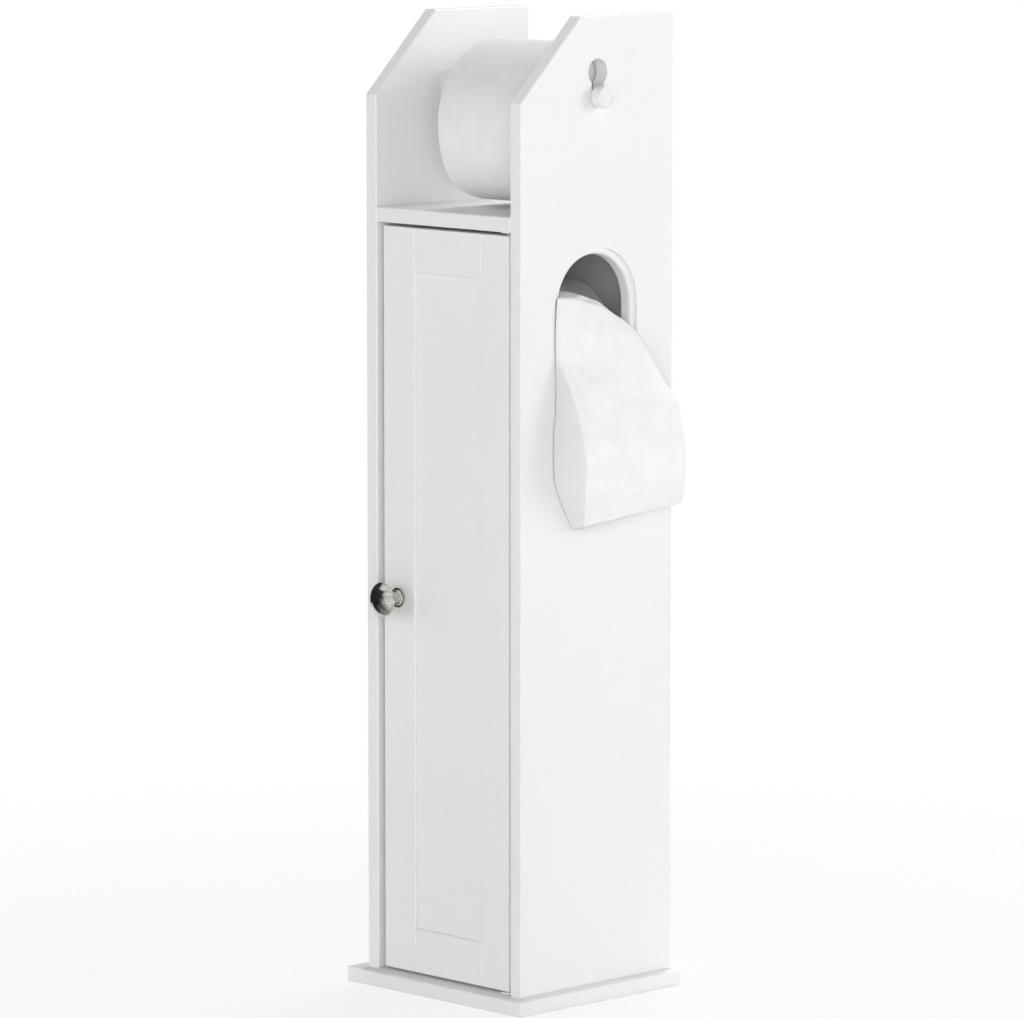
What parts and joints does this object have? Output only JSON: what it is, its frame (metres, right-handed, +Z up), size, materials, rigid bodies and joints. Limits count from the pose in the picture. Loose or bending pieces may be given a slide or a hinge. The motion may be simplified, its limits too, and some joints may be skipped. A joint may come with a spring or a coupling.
{
  "type": "toilet roll storage cabinet",
  "caption": "Narrow white floor-standing toilet roll cabinet: open roll bay with a lift-out bar, arched side paper outlet, framed door with a domed knob, base board.",
  "frame": {"origin": "centre of the underside of the base board", "axes": "+X to the right seen from the front, +Y to the back, +Z up"},
  "size_m": [0.2294, 0.1897, 0.78],
  "materials": {
    "white_board": "satin white lacquer on fibreboard",
    "back_board": "matt white foil on thin hardboard",
    "beech": "plain fluted dowel",
    "zinc_steel": "zinc plated",
    "knob_metal": "dark polished nickel",
    "white_plastic": "moulded",
    "ferrite": "pressed ferrite",
    "tissue": "soft embossed tissue",
    "core_board": "grey-brown wound board"
  },
  "bodies": {
    "carcass": {"base_board": "white_board", "side_panel_left": "white_board", "side_panel_right": "white_board", "compartment_floor": "white_board", "roll_shelf": "white_board", "lower_shelf": "white_board", "shelf_pins": "zinc_steel", "back_panel": "back_board", "back_screws": "zinc_steel", "base_screws": "zinc_steel", "carcass_dowels": "beech", "cam_bolts": "zinc_steel", "cam_discs": "zinc_steel", "hinge_bush_top": "white_plastic", "hinge_bush_bottom": "white_plastic", "catch_body": "white_plastic", "catch_magnet": "ferrite", "catch_screws": "zinc_steel", "bar_cradle": "white_plastic", "cradle_screws": "zinc_steel", "paper_tail": "tissue"},
    "door": {"door_stile_left": "white_board", "door_stile_right": "white_board", "door_rail_top": "white_board", "door_rail_bottom": "white_board", "door_panel": "white_board", "door_dowels": "beech", "hinge_pin_top": "zinc_steel", "hinge_pin_bottom": "zinc_steel", "knob_cap": "knob_metal", "knob_foot": "knob_metal", "knob_screw": "zinc_steel", "strike_plate": "zinc_steel", "strike_screws": "zinc_steel"},
    "bar": {"roll_bar": "white_plastic", "bar_end_cap": "white_plastic"},
    "top_roll": {"top_roll_paper": "tissue", "top_roll_core": "core_board"},
    "inner_roll": {"inner_roll_paper": "tissue", "inner_roll_core": "core_board"}
  },
  "joints": [
    {"name": "door_hinge", "type": "hinge", "parent": "carcass", "child": "door", "pos_m": [0.0655, -0.0687, 0.312], "axis": [0, 0, 1], "range_deg": [0, 105]},
    {"name": "bar_lift", "type": "slide", "parent": "carcass", "child": "bar", "axis": [0, 0, 1], "range_m": [0, 0.019]},
    {"name": "roll_spin", "type": "hinge", "parent": "bar", "child": "top_roll", "pos_m": [0.0228, 0.006, 0.6994], "axis": [1, 0, 0], "continuous": true},
    {"name": "inner_roll_spin", "type": "hinge", "parent": "carcass", "child": "inner_roll", "pos_m": [0, 0.0135, 0.504], "axis": [0, 1, 0], "continuous": true}
  ]
}
